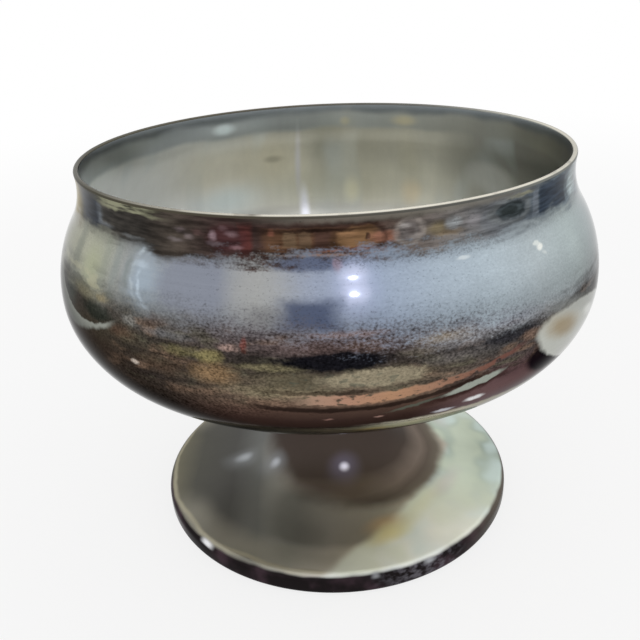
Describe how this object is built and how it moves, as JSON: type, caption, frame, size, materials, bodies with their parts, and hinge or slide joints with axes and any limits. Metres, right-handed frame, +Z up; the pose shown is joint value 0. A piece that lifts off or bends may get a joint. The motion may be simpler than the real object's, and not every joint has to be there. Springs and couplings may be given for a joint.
{
  "type": "dessert bowl",
  "caption": "Footed dessert bowl of tarnished silver plate: a round belly drawn in under a thin rim, on a low hollow trumpet foot.",
  "frame": {"origin": "on the table, at the middle of the flat ring that the foot stands on", "axes": "+Z points up along the axis of the bowl; +X and +Y lie in the table plane, and the object is alike all round"},
  "size_m": [0.1, 0.1, 0.074],
  "materials": {
    "bowl_plate": "polished silver plate, satin inside, tarnished to brown and blue-black in bands outside",
    "foot_plate": "satin silver plate with a thin olive tarnish, dark on the upright edge",
    "solder": "dull grey soft solder, as it ran"
  },
  "bodies": {
    "root": {"bowl_shell": "bowl_plate", "foot_shell": "foot_plate", "solder_seam": "solder"}
  },
  "joints": []
}
